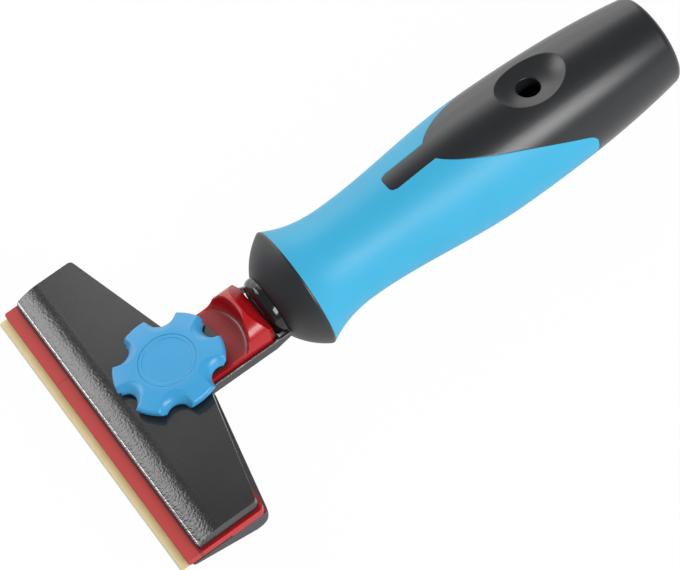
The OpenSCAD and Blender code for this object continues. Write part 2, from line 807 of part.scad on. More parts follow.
module tang_nut() color(zinc) placed()
  difference() {
    translate([0, tang_seat + tang_washer_t, axis_h]) rotate([-90, 0, 0]) hexagon(tang_nut_af, 0, tang_nut_t);
    along_y(thread_r + thread_gap, tang_seat, socket_bottom);
  }

base_shoe();
neck_channel();
neck_rivets();
clamp_plate();
blade_carrier();
scraper_blade();
clamp_knob();
knob_cap();
clamp_screw();
knob_washer();
captive_nut();
neck_collar();
tang_rod();
handle_core();
grip_sleeve();
tang_washer();
tang_nut();
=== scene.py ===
import math

import bmesh
import bpy
import numpy as np
from mathutils import Matrix, Vector


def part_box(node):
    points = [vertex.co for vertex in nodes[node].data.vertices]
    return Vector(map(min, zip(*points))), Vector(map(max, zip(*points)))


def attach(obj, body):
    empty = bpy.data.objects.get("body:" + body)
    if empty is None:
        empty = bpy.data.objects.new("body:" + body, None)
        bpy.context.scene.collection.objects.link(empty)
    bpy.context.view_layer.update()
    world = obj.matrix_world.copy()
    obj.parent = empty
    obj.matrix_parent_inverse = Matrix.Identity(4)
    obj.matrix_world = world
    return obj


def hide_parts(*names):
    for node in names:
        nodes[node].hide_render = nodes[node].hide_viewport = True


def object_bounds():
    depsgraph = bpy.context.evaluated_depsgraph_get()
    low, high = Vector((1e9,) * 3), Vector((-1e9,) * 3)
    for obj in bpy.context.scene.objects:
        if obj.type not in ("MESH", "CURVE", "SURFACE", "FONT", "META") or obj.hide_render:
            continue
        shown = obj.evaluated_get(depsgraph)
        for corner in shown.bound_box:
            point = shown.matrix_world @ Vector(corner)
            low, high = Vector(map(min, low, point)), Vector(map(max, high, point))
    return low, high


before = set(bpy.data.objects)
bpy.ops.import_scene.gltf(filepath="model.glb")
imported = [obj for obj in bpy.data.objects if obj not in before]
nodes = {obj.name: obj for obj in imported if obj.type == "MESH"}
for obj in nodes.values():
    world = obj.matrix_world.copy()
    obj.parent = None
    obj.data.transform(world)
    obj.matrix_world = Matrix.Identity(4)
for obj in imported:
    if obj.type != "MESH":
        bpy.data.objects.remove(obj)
cad_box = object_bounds()

# The drawing's zero in the part's frame: the middle of the blade's edge, at its upper face
ZERO = np.array([0.0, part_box("scraper_blade")[0].y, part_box("scraper_blade")[1].z])


def placed(points):
    """Millimetres from the blade's edge, as metres in the part's frame."""
    return np.asarray(points, float) * 0.001 + ZERO


def measured(node):
    """The least and the greatest corner of a CAD node, in millimetres from the blade's edge."""
    return [((np.array(corner, float) - ZERO) * 1000).tolist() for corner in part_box(node)]


# Sizes and places, in millimetres from the blade's edge

(_, PLATE_Y, _), (PLATE_HALF, _, _) = measured("clamp_plate")
_, (NECK_HALF, WALL_END, WALL_TOP) = measured("neck_channel")
(_, NOSE_Y, _), (_, END_Y, _) = measured("handle_core")
(_, _, KNOB_BOTTOM), (_, _, KNOB_TOP) = measured("clamp_knob")
(_, _, CAP_Z), _ = measured("knob_cap")

# Knob and its notches
KNOB_Y, LOBE_R, KNOB_CROWN, KNOB_BROW, KNOB_FOOT = 29.8, 15.7, 0.6, 0.9, 1.4
NOTCH_TURN, NOTCH_DEPTH, NOTCH_R, NOTCH_OPEN, NOTCH_SOFT = 37.5, 2.1, 3.2, 2.6, 0.5
CAP_R, HEAD_Z, HEX_R, SCREW_HOLE_R, WASHER_R, WASHER_Z = 8.22, 7.3, 5.1, 3.05, 7.35, 6.4

# Red slide, and the neck's walls that draw in at their end
SCOOP_Y, SCOOP_R, TAIL_TOP, TAIL_HALF = KNOB_Y + 6.0, 16.9, 4.78, 10.3
SEAM_X = -19.8
WALL_DRAW, WALL_FALL, WALL_IN, WALL_SHOWS = 5.2, 1.3, 0.9, KNOB_Y + 6.2

# Handle outline
AXIS_Z = 3.0
NOSE_R = 9.6
FLARE_Y, FLARE_R, FLARE_SLOPE = NOSE_Y + 9.0, 18.15, 0.55
RIM_ROUND, RIM_SET, NOSE_FALL = 0.8, 0.35, 30.0
SEAM_R = FLARE_R - RIM_ROUND + math.sqrt(RIM_ROUND**2 - RIM_SET**2)
WAIST_Y, WAIST_R = FLARE_Y + 16.7, 14.2
BELLY_Y, BELLY_R = FLARE_Y + 64.7, 17.7
END_R, END_SLOPE, END_ROUND = 13.6, 0.18, 2.2
GRIP_T = 2.0
GRIP_TOP, GRIP_END, GRIP_DROP, GRIP_BOW, TIP_R = FLARE_Y + 47.6, FLARE_Y + 90.0, 0.8, 2.3, 5.0
STRAP_HALF, STRAP_ROUND, STRAP_TURN = 3.1, 1.8, 11.0
STRAP_Y = GRIP_TOP - 13.8
SOCKET_R, SOCKET_Y, MOUTH = 10.5, END_Y - 48.0, 0.8
TANG_R, RECESS_R, SEAT_Y = 5.05, 8.1, SOCKET_Y - 9.0
LOCK_R, LOCK_Y, LOCK_RIM, LOCK_REACH = 3.4, END_Y - 39.8, 0.25, 7.0
DISH_R, DISH_D, DISH_Y, DISH_RIM, DISH_SOFT = 18.0, 3.6, LOCK_Y + 1.6, 0.4, 0.2


# Shader maths as Python


class Tone:
    """A socket of a finish."""

    def __init__(self, finish, socket):
        self.finish = finish
        self.socket = socket

    def sum(self, operation, *terms):
        return self.finish.node("ShaderNodeMath", {"operation": operation}, terms)

    def __add__(self, other):
        return self.sum("ADD", self, other)

    def __radd__(self, other):
        return self.sum("ADD", other, self)

    def __sub__(self, other):
        return self.sum("SUBTRACT", self, other)

    def __rsub__(self, other):
        return self.sum("SUBTRACT", other, self)

    def __mul__(self, other):
        return self.sum("MULTIPLY", self, other)

    def __rmul__(self, other):
        return self.sum("MULTIPLY", other, self)

    def __abs__(self):
        return self.sum("ABSOLUTE", self)

    def between(self, low, high):
        """0 below low, 1 above high, smooth in between."""
        return self.finish.node(
            "ShaderNodeMapRange",
            {"interpolation_type": "SMOOTHSTEP", "clamp": True},
            {"Value": self, "From Min": low, "From Max": high},
        )


class Finish:
    """The nodes of a material or of the world, built one by one."""

    def __init__(self, owner):
        self.owner = owner
        owner.use_nodes = True
        self.tree = owner.node_tree
        self.tree.nodes.clear()

    def node(self, kind, settings=None, inputs=(), output=0):
        """A node with its settings, then its values and links, as one of its outputs."""
        made = self.tree.nodes.new(kind)
        for key, value in (settings or {}).items():
            setattr(made, key, value)
        pairs = inputs.items() if isinstance(inputs, dict) else enumerate(inputs)
        for key, value in pairs:
            if isinstance(value, Tone):
                self.tree.links.new(value.socket, made.inputs[key])
            else:
                made.inputs[key].default_value = value
        return Tone(self, made.outputs[output]) if len(made.outputs) else None

    def place(self):
        """A point's place on its piece, in metres in the part's frame."""
        return self.node("ShaderNodeTexCoord", output="Object")

    def mm(self, letter):
        """The place along an axis, in millimetres from the blade's edge."""
        axis = "XYZ".index(letter)
        along = self.node("ShaderNodeSeparateXYZ", inputs=[self.place()], output=axis)
        return (along - float(ZERO[axis])) * 1000

    def stretched(self, x, y, z):
        """The place, scaled apart along each axis."""
        return self.node(
            "ShaderNodeVectorMath", {"operation": "MULTIPLY"}, [self.place(), (x, y, z)]
        )

    def noise(self, size_mm, detail=2.0, where=None):
        return self.node(
            "ShaderNodeTexNoise",
            inputs={
                "Vector": where or self.place(),
                "Scale": 1000.0 / size_mm,
                "Detail": detail,
                "Roughness": 0.5,
            },
        )

    def pebbles(self, size_mm):
        return self.node(
            "ShaderNodeTexVoronoi",
            {"feature": "SMOOTH_F1"},
            {"Vector": self.place(), "Scale": 1000.0 / size_mm, "Smoothness": 0.6},
        )

    def mix(self, share, first, second):
        """Two colours mixed by a share."""
        colours = [c if isinstance(c, Tone) else (*c, 1) for c in (first, second)]
        return self.node(
            "ShaderNodeMix",
            {"data_type": "RGBA"},
            {0: share, 6: colours[0], 7: colours[1]},
            output=2,
        )

    def bump(self, height, depth_mm):
        return self.node(
            "ShaderNodeBump",
            inputs={"Height": height, "Distance": depth_mm * 0.001, "Strength": 1.0},
        )

    def surface(self, **sockets):
        """The finished material, from the shader's sockets by name."""
        names = {k.replace("_", " ").title().replace("Ior", "IOR"): v for k, v in sockets.items()}
        shader = self.node("ShaderNodeBsdfPrincipled", inputs=names)
        self.node("ShaderNodeOutputMaterial", inputs={"Surface": shader})
        return self.owner


# Finishes


def new_finish(name):
    return Finish(bpy.data.materials.new(name))


def powder_coat():
    """Black coat, rough on the plate's rolled front, with a painted highlight drawn as a bare metal line
    on its edge and on the neck's walls.
    """
    f = new_finish("black_powder_coat")
    cloud = f.noise(14.0, 3.0)
    y = f.mm("Y")
    front = y - PLATE_Y
    peel = f.noise(0.7) * (1 - front.between(5.0, 8.5) * 0.85)
    # Painted highlight: a thin line of bright bare metal along the plate's front edge and along the tops
    # of the neck's walls, where the edges catch the light.
    front_edge_glint = front.between(0.38, 0.46) * (1 - front.between(0.60, 0.68))
    fall = y.between(WALL_END - WALL_DRAW, WALL_END)
    wall_top_glint = (f.mm("Z") + fall * WALL_FALL).between(WALL_TOP - 0.22, WALL_TOP - 0.14)
    wall_top_glint = wall_top_glint * (abs(f.mm("X")) + fall * WALL_IN).between(NECK_HALF - 0.42, NECK_HALF - 0.34)
    painted_glint = front_edge_glint + wall_top_glint * y.between(WALL_SHOWS, WALL_SHOWS + 0.5)
    coat = f.mix(cloud, (0.014, 0.014, 0.015), (0.022, 0.022, 0.024))
    return f.surface(
        base_color=f.mix(painted_glint, coat, (0.32, 0.32, 0.31)),
        metallic=painted_glint,
        roughness=0.16 + cloud * 0.08,
        specular_ior_level=0.75,
        normal=f.bump(peel, 0.1),
    )


def red_moulding():
    """Red plastic: painted shade on the scoop's floor, duller on the front bar, with a painted shadow
    beside the plate and a dark mould line across the bar.
    """
    f = new_finish("red_moulded_plastic")
    cloud = f.noise(9.0, 3.0)
    grain = f.noise(0.35)
    x, y, z = f.mm("X"), f.mm("Y"), f.mm("Z")
    # Painted shade: the scoop's floor is darkened where the knob and the ridge shade it.
    scoop_floor_shade = y.between(KNOB_Y - 4, KNOB_Y)
    scoop_floor_shade = scoop_floor_shade * (1 - z.between(TAIL_TOP + 0.22, TAIL_TOP + 1.62))
    scoop_floor_shade = scoop_floor_shade * (1 - abs(x).between(TAIL_HALF - 1.0, TAIL_HALF - 0.7))
    flat = scoop_floor_shade * (1 - z.between(TAIL_TOP + 0.04, TAIL_TOP + 0.22))
    bar = 1 - y.between(PLATE_Y + 0.2, PLATE_Y + 0.6)
    bar = bar * (1 - abs(x).between(PLATE_HALF - 0.2, PLATE_HALF + 2.2))
    # Painted shadow: a dark line on the front bar just in front of the plate's edge, where the plate
    # shades it.
    plate_edge_shadow = bar * y.between(PLATE_Y - 0.8, PLATE_Y - 0.3)
    seam = bar * (1 - abs(x - SEAM_X).between(0.06, 0.14))
    red_tone = f.mix(cloud, (0.42, 0.006, 0.009), (0.49, 0.008, 0.012))
    red_tone = f.mix(bar, red_tone, (0.47, 0.034, 0.030))
    red_tone = f.mix(plate_edge_shadow * 0.75 + seam * 0.6, red_tone, (0.030, 0.004, 0.004))
    return f.surface(
        base_color=f.mix(scoop_floor_shade * 0.66, red_tone, (0.13, 0.005, 0.004)),
        roughness=0.20 + grain * 0.08 + bar * 0.3 + flat * 0.25,
        normal=f.bump(grain, 0.006),
    )


def knob_moulding():
    f = new_finish("blue_knob_plastic")
    cloud = f.noise(8.0, 3.0)
    grain = f.noise(0.4)
    return f.surface(
        base_color=f.mix(cloud, (0.038, 0.326, 0.645), (0.050, 0.366, 0.695)),
        roughness=0.30 + grain * 0.1,
        normal=f.bump(grain, 0.006),
    )


def soft_grip():
    f = new_finish("blue_soft_grip")
    cloud = f.noise(16.0, 3.0)
    grain = f.pebbles(0.5)
    return f.surface(
        base_color=f.mix(cloud, (0.030, 0.388, 0.640), (0.042, 0.430, 0.685)),
        roughness=0.45 + grain * 0.1,
        normal=f.bump(grain, 0.005),
    )


def handle_moulding():
    """Charcoal plastic, duller on the nose."""
    f = new_finish("charcoal_handle_plastic")
    cloud = f.noise(12.0, 3.0)
    grain = f.pebbles(0.45)
    matt = 1 - f.mm("Y").between(FLARE_Y - 1, FLARE_Y)
    return f.surface(
        base_color=f.mix(cloud, (0.009, 0.010, 0.012), (0.014, 0.015, 0.017)),
        roughness=0.29 + grain * 0.08 + matt * 0.18,
        specular_ior_level=0.6,
        normal=f.bump(grain, 0.004),
    )


def shoe_moulding():
    f = new_finish("grey_shoe_plastic")
    cloud = f.noise(10.0, 3.0)
    grain = f.noise(0.4)
    return f.surface(
        base_color=f.mix(cloud, (0.045, 0.045, 0.050), (0.060, 0.060, 0.066)),
        roughness=0.42 + grain * 0.12,
        normal=f.bump(grain, 0.014),
    )


def collar_gloss():
    f = new_finish("gloss_black_collar")
    cloud = f.noise(3.0)
    return f.surface(
        base_color=f.mix(cloud, (0.006, 0.006, 0.007), (0.010, 0.010, 0.011)),
        roughness=0.08 + cloud * 0.06,
        normal=f.bump(cloud, 0.02),
    )


def blade_coat():
    """Tan coat with fine lines along the blade, paler where the edge is ground."""
    f = new_finish("tan_coated_blade")
    lines = f.noise(0.5, where=f.stretched(0.05, 1.0, 1.0))
    cloud = f.noise(6.0, 3.0)
    ground = 1 - f.mm("Y").between(0.3, 0.9)
    tan = f.mix(cloud, (0.64, 0.52, 0.25), (0.76, 0.64, 0.34))
    return f.surface(
        base_color=f.mix(ground, tan, (0.78, 0.71, 0.50)),
        metallic=0.15,
        roughness=0.34 + lines * 0.16,
        normal=f.bump(lines, 0.006),
    )


def zinc_plate():
    f = new_finish("bright_zinc_steel")
    lines = f.noise(0.6, where=f.stretched(1.0, 0.2, 1.0))
    cloud = f.noise(4.0, 3.0)
    return f.surface(
        base_color=f.mix(cloud, (0.56, 0.57, 0.59), (0.68, 0.69, 0.71)),
        metallic=1.0,
        roughness=0.24 + lines * 0.2,
        normal=f.bump(lines, 0.008),
    )


BLACK = powder_coat()
RED = red_moulding()
KNOB = knob_moulding()
GRIP = soft_grip()
HANDLE = handle_moulding()
SHOE = shoe_moulding()
COLLAR = collar_gloss()
BLADE = blade_coat()
ZINC = zinc_plate()


# Pieces

# Edges shorter than this, in metres, are closed up, and edges that turn by more than this stay sharp
SPECK, SHARP_DEG = 2e-6, 24.0


def piece(name, build, material, body, node):
    """A finished piece from a bmesh: it rides on a body and stands for a node."""
    mesh = bpy.data.meshes.new(name)
    build.to_mesh(mesh)
    build.free()
    mesh.materials.clear()
    mesh.materials.append(material)
    for face in mesh.polygons:
        face.use_smooth = True
        face.material_index = 0
    made = bpy.data.objects.new(name, mesh)
    bpy.context.scene.collection.objects.link(made)
    weigh = made.modifiers.new("even_shading", "WEIGHTED_NORMAL")
    weigh.weight = 50
    weigh.keep_sharp = True
    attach(made, body)
    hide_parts(node)


def soften(build, edge_mm, turn_deg=32.0, steps=3, chosen=None):
    """Rounds the edges that turn by more than turn_deg: all, or those whose ends a test chooses."""

    def picked(edge):
        ends = [(np.array(v.co) - ZERO) * 1000 for v in edge.verts]
        return chosen is None or all(chosen(*end) for end in ends)

    sharp = [
        e for e in build.edges
        if len(e.link_faces) == 2 and e.calc_face_angle() > math.radians(turn_deg) and picked(e)
    ]
    bmesh.ops.bevel(
        build,
        geom=sharp,
        offset=edge_mm * 0.001,
        offset_type="OFFSET",
        segments=steps,
        profile=0.5,
        affect="EDGES",
        clamp_overlap=True,
    )


def dressed(node, name, material, body, edge_mm, special=()):
    """A CAD node's own shape with its edges rounded, some of them by a size of their own."""
    build = bmesh.new()
    build.from_mesh(nodes[node].data)
    bmesh.ops.remove_doubles(build, verts=build.verts, dist=1e-6)
    bmesh.ops.dissolve_limit(
        build, angle_limit=math.radians(0.6), verts=build.verts, edges=build.edges, delimit=set()
    )
    for size_mm, chosen in special:
        soften(build, size_mm, steps=5, chosen=chosen)
    soften(build, edge_mm)
    bmesh.ops.dissolve_degenerate(build, dist=SPECK, edges=build.edges)
    bmesh.ops.remove_doubles(build, verts=build.verts, dist=SPECK)
    for edge in build.edges:
        edge.smooth = edge.calc_face_angle(0.0) < math.radians(SHARP_DEG)
    piece(name, build, material, body, node)


def grid_faces(build, rows):
    """Quads between rows of points that each go once round."""
    made = [[build.verts.new(Vector(p)) for p in placed(row)] for row in rows]
    count = len(made[0])
    for a, b in zip(made, made[1:]):
        for j in range(count):
            k = (j + 1) % count
            build.faces.new((a[j], a[k], b[k], b[j]))


def soft_least(a, b, soft):
    """The lesser of two measures, blended where they are close."""
    share = np.clip(0.5 + 0.5 * (a - b) / soft, 0, 1)
    return a * (1 - share) + b * share - soft * share * (1 - share)


def span(p0, m0, p1, m1, s):
    """A cubic from p0 to p1 that leaves and arrives at slopes m0 and m1."""
    return (
        p0 * (2 * s**3 - 3 * s**2 + 1) + m0 * (s**3 - 2 * s**2 + s)
        + p1 * (3 * s**2 - 2 * s**3) + m1 * (s**3 - s**2)
    )


def handle_r(y):
    """The handle's radius at a station, from the flare by the waist and the belly to the end."""
    y = np.asarray(y, float)
    neck, rise, tail = WAIST_Y - FLARE_Y, BELLY_Y - WAIST_Y, END_Y - BELLY_Y
    front = span(SEAM_R, -FLARE_SLOPE * neck, WAIST_R, 0, (y - FLARE_Y) / neck)
    middle = span(WAIST_R, 0, BELLY_R, 0, (y - WAIST_Y) / rise)
    rear = span(BELLY_R, 0, END_R, -END_SLOPE * tail, (y - BELLY_Y) / tail)
    return np.where(y < WAIST_Y, front, np.where(y < BELLY_Y, middle, rear))


def shell_top(x, y):
    """Height of the rear body's round top above the axis."""
    return np.sqrt(np.maximum(handle_r(y) ** 2 - x**2, 0.01))


def dish_top(x, y):
    """Height of the finger dish's ball above the axis."""
    middle = handle_r(DISH_Y) - DISH_D + DISH_R
    return middle - np.sqrt(np.maximum(DISH_R**2 - x**2 - (y - DISH_Y) ** 2, 0.01))


def top_height(x, y):
    """Height of the rear body's top above the axis, with the finger dish let in softly."""
    return soft_least(dish_top(x, y), shell_top(x, y), DISH_SOFT)


def dish_reach(angle):
    """Distance from the lock hole's axis to the dish's rim in each direction."""
    near, far = np.zeros_like(angle), np.full_like(angle, 16.0)
    for _ in range(40):
        reach = (near + far) / 2
        x, y = reach * np.cos(angle), LOCK_Y + reach * np.sin(angle)
        within = dish_top(x, y) < shell_top(x, y)
        near, far = np.where(within, reach, near), np.where(within, far, reach)
    return (near + far) / 2


def nose_outline():
    """Radii and stations along the nose: an arc from its front that runs into the flare's rolled rim."""
    fall = math.radians(NOSE_FALL)
    rim = np.array([FLARE_R - RIM_ROUND, FLARE_Y - RIM_SET])
    lean = np.array([math.cos(fall), -math.sin(fall)])
    meet = rim + RIM_ROUND * lean
    chord = meet - [NOSE_R, NOSE_Y]
    sweep = 2 * (math.atan2(chord[0], chord[1]) - fall)
    bend = np.linalg.norm(chord) / (2 * math.sin(sweep / 2))
    arc = [(meet - bend * lean, bend, fall + sweep * t) for t in np.linspace(1, 0, 15)]
    seam = math.asin(RIM_SET / RIM_ROUND)
    arc += [(rim, RIM_ROUND, a) for a in np.linspace(fall, -seam, 13)[1:-1]]
    return [(c[0] + r * math.cos(a), c[1] - r * math.sin(a)) for c, r, a in arc]


def grip_edge():
    """The grip's rear edge as turns from the top, in degrees, and their stations."""
    top = np.array([GRIP_TOP, float(handle_r(GRIP_TOP))])
    low = np.array([GRIP_END, GRIP_DROP])
    along = low - top
    normal = np.array([-along[1], along[0]]) / np.linalg.norm(along)
    s = np.linspace(0, 1, 60)[:, None]
    slant = top + along * s + normal * 4 * GRIP_BOW * s * (1 - s)
    before = slant[-8]
    u = (before - low) / np.linalg.norm(before - low)
    v = np.array([0.0, -1.0])
    half = math.acos(float(u @ v)) / 2
    middle = low + (u + v) / np.linalg.norm(u + v) * TIP_R / math.sin(half)
    start = low + u * TIP_R / math.tan(half) - middle
    finish = low + v * TIP_R / math.tan(half) - middle
    a0, a1 = math.atan2(start[1], start[0]), math.atan2(finish[1], finish[0])
    turn = (a1 - a0 + 3 * math.pi) % (2 * math.pi) - math.pi
    angles = a0 + turn * np.linspace(0, 1, 16)
    tip = middle + TIP_R * np.stack([np.cos(angles), np.sin(angles)], 1)
    kept = slant[slant[:, 0] < tip[0, 0] - 0.05]
    down = np.linspace(tip[-1, 1] - 0.2, -float(handle_r(GRIP_END)), 60)
    edge = np.concatenate([kept, tip, np.stack([np.full(60, GRIP_END), down], 1)])
    turns = np.degrees(np.arccos(np.clip(edge[:, 1] / handle_r(edge[:, 0]), -1, 1)))
    return np.maximum.accumulate(turns), edge[:, 0]


def way_round(angles):
    """1 or -1: which way a row of angles goes round."""
    return np.sign(np.sum(np.angle(np.exp(1j * np.diff(angles)))))


def handle_pieces():
    """The core and the grip share one grid, which follows the edge between them."""
    strap_columns = 6
    half = np.concatenate([
        np.linspace(0, STRAP_TURN, strap_columns + 1),
        np.linspace(STRAP_TURN, 40, 25)[1:],
        np.linspace(40, 180, 57)[1:],
    ])
    turn = np.concatenate([half, -half[-2:0:-1]])
    size, count = np.abs(turn), len(turn)
    on_strap = size <= STRAP_TURN + 1e-6

    def around(y):
        """The true turn of each column at its station, in radians: the strap's sides are straight."""
        strap = np.degrees(np.arcsin(STRAP_HALF / handle_r(np.clip(y, STRAP_Y, GRIP_TOP))))
        wide = strap + (size - STRAP_TURN) / (180 - STRAP_TURN) * (180 - strap)
        return np.radians(np.where(on_strap, size / STRAP_TURN * strap, wide) * np.sign(turn))

    def ringed(radius, y, dished=False):
        """A row of points round the axis."""
        y = np.broadcast_to(np.asarray(y, float), (count,))
        phi = around(y)
        x, z = radius * np.sin(phi), radius * np.cos(phi)
        if dished:
            z = np.where(np.cos(phi) > 0.3, top_height(x, y), z)
        return np.stack([x, y, AXIS_Z + z], 1)

    # Rows from the flare to the strap's tip, on to the grip's rear edge, and on to the end
    x = STRAP_HALF * np.minimum(size / STRAP_TURN, 1)
    corner = np.maximum(x - (STRAP_HALF - STRAP_ROUND), 0)
    strap_tip = STRAP_Y + STRAP_ROUND - np.sqrt(STRAP_ROUND**2 - corner**2)
    edge_turn, edge_y = grip_edge()
    rear = np.interp(np.degrees(np.abs(around(np.full(count, GRIP_TOP + 1)))), edge_turn, edge_y)
    rear = np.where(on_strap, rear[strap_columns], rear)
    body_end = END_Y - END_ROUND
    strap_rows, side_rows, rear_rows = 30, 30, 90
    grip_rows = strap_rows + side_rows
    stations = [FLARE_Y + (strap_tip - FLARE_Y) * k / strap_rows for k in range(strap_rows)]
    stations += [strap_tip + (rear - strap_tip) * k / side_rows for k in range(side_rows)]
    stations += [rear + (body_end - rear) * k / rear_rows for k in range(rear_rows + 1)]
    outer = [ringed(handle_r(y), y, i > grip_rows) for i, y in enumerate(stations)]
    inner = [ringed(handle_r(y) - GRIP_T, y) for y in stations[: grip_rows + 1]]

    # Rows round the end, back through the socket and the tang's bore, and over the nose
    for a in np.radians(np.linspace(15, 90, 6)):
        radius = float(handle_r(body_end)) - END_ROUND * (1 - math.cos(a))
        outer.append(ringed(radius, body_end + END_ROUND * math.sin(a)))
    outer.append(ringed(SOCKET_R + MOUTH, END_Y))
    mouth_rows, lock_rows = 8, 44
    lock_from = len(outer) + mouth_rows
    socket = np.concatenate([
        np.linspace(END_Y - MOUTH, LOCK_Y + LOCK_REACH, mouth_rows, endpoint=False),
        np.linspace(LOCK_Y + LOCK_REACH, LOCK_Y - LOCK_REACH, lock_rows + 1)[:-1],
        np.linspace(LOCK_Y - LOCK_REACH, SOCKET_Y, 3)[:-1],
    ])
    bore = [(SOCKET_R, y) for y in socket]
    bore += [(SOCKET_R, SOCKET_Y), (RECESS_R, SOCKET_Y), (RECESS_R, SEAT_Y), (TANG_R, SEAT_Y)]
    bore += [(TANG_R, (SEAT_Y + NOSE_Y) / 2), (TANG_R, NOSE_Y), ((TANG_R + NOSE_R) / 2, NOSE_Y)]
    outer += [ringed(r, y) for r, y in bore + nose_outline()]
    total = len(outer)

    def is_grip(i, j):
        if i >= grip_rows:
            return False
        return i < strap_rows or not (on_strap[j] and on_strap[(j + 1) % count])

    # The lock hole's round patch takes the place of a block of cells, outside and in the socket
    side = strap_columns + 20
    middle_row = min(
        range(grip_rows, grip_rows + rear_rows), key=lambda i: abs(stations[i][0] - LOCK_Y)
    )
    first_row = middle_row - lock_rows // 2 + 6
    rows_out = (first_row, first_row + lock_rows)
    rows_in = (lock_from, lock_from + lock_rows)

    def in_patch(i, j):
        near = j < side or j >= count - side
        return near and (rows_out[0] <= i < rows_out[1] or rows_in[0] <= i < rows_in[1])

    core, grip = bmesh.new(), bmesh.new()
    core_out, core_in, grip_out, grip_in = {}, {}, {}, {}

    def vert(build, store, source, i, j):
        """A row's point as a vertex, made once."""
        key = (i % total, j % count)
        if key not in store:
            store[key] = build.verts.new(Vector(placed(source[key[0]][key[1]])))
        return store[key]

    for i in range(total):
        for j in range(count):
            cell = [(i, j), (i, j + 1), (i + 1, j + 1), (i + 1, j)]
            if is_grip(i, j):
                core.faces.new([vert(core, core_in, inner, *c) for c in cell])
                grip.faces.new([vert(grip, grip_out, outer, *c) for c in cell])
                grip.faces.new([vert(grip, grip_in, inner, *c) for c in reversed(cell)])
            elif not in_patch(i, j):
                core.faces.new([vert(core, core_out, outer, *c) for c in cell])

    # Walls between the outer and the inner rows, where the grip meets the core
    for i in range(grip_rows + 1):
        for j in range(count):
            before, beside = ((i - 1) % total, j), (i, (j - 1) % count)
            for other, a, b in ((before, (i, j), (i, j + 1)), (beside, (i, j), (i + 1, j))):
                if is_grip(i, j) == is_grip(*other):
                    continue
                for build, out, within in ((core, core_out, core_in), (grip, grip_out, grip_in)):
                    build.faces.new([
                        vert(build, out, outer, *a), vert(build, out, outer, *b),
                        vert(build, within, inner, *b), vert(build, within, inner, *a),
                    ])

    def border(rows):
        """The grid points round a block of rows, in order."""
        columns = list(range(-side, side + 1))
        r0, r1 = rows
        loop = [(r0, j) for j in columns[:-1]] + [(i, columns[-1]) for i in range(r0, r1)]
        loop += [(r1, j) for j in reversed(columns[1:])]
        return loop + [(i, columns[0]) for i in range(r1, r0, -1)]

    outside, within = border(rows_out), border(rows_in)
    flat, flat_in = (
        np.array([outer[i % total][j % count][:2] for i, j in loop]) for loop in (outside, within)
    )
    angle = np.arctan2(flat[:, 1] - LOCK_Y, flat[:, 0])
    rim = np.stack([np.cos(angle), np.sin(angle)], 1)
    hole = np.array([0.0, LOCK_Y])
    loops = [[vert(core, core_out, outer, *c) for c in outside]]

    def loop_at(flat_points, heights):
        points = placed(np.column_stack([flat_points, AXIS_Z + heights]))
        loops.append([core.verts.new(Vector(p)) for p in points])

    # Loops from the block's border in to the dish's rim, down to the hole's rim and through the hole
    border_reach = np.linalg.norm(flat - hole, axis=1)
    dish_rim = np.minimum(dish_reach(angle), border_reach - 2 * DISH_RIM)
    outward, inward = dish_rim + DISH_RIM, dish_rim - DISH_RIM
    reaches = [border_reach + (outward - border_reach) * t for t in np.linspace(0, 1, 7)[1:]]
    reaches += [dish_rim + DISH_RIM * t for t in np.linspace(1, -1, 9)[1:]]
    reaches += [inward + (LOCK_R + LOCK_RIM - inward) * t for t in np.linspace(0, 1, 15)[1:]]
    for reach in reaches:
        at = hole + rim * reach[:, None]
        loop_at(at, top_height(at[:, 0], at[:, 1]))
    for a in np.radians([30, 60, 90]):
        at = hole + rim * (LOCK_R + LOCK_RIM * (1 - math.sin(a)))
        loop_at(at, top_height(at[:, 0], at[:, 1]) - LOCK_RIM * (1 - math.cos(a)))
    at = hole + rim * LOCK_R
    floor = np.sqrt(SOCKET_R**2 - at[:, 0] ** 2)
    loop_at(at, (top_height(at[:, 0], at[:, 1]) - LOCK_RIM + floor) / 2)
    loop_at(at, floor)

    # Loops out from the hole over the socket's wall, to the block's border there
    ends = [vert(core, core_out, outer, *c) for c in within]
    turned = np.arctan2(flat_in[:, 1] - LOCK_Y, flat_in[:, 0])
    start = int(np.argmin(np.abs(np.angle(np.exp(1j * (turned - angle[0]))))))
    step = 1 if way_round(turned) == way_round(angle) else -1
    picks = [(start + step * k) % len(within) for k in range(len(within))]
    for s in (0.35, 0.7):
        at_s = at * (1 - s) + flat_in[picks] * s
        loop_at(at_s, np.sqrt(np.maximum(SOCKET_R**2 - at_s[:, 0] ** 2, 0.01)))
    loops.append([ends[k] for k in picks])
    for a, b in zip(loops, loops[1:]):
        for k in range(len(a)):
            n = (k + 1) % len(a)
            core.faces.new((a[k], a[n], b[n], b[k]))

    for build in (core, grip):
        bmesh.ops.recalc_face_normals(build, faces=build.faces)
        soften(build, 0.22, 38.0, 2)
    piece("handle_body", core, HANDLE, "head_and_handle", "handle_core")
    piece("soft_grip", grip, GRIP, "head_and_handle", "grip_sleeve")


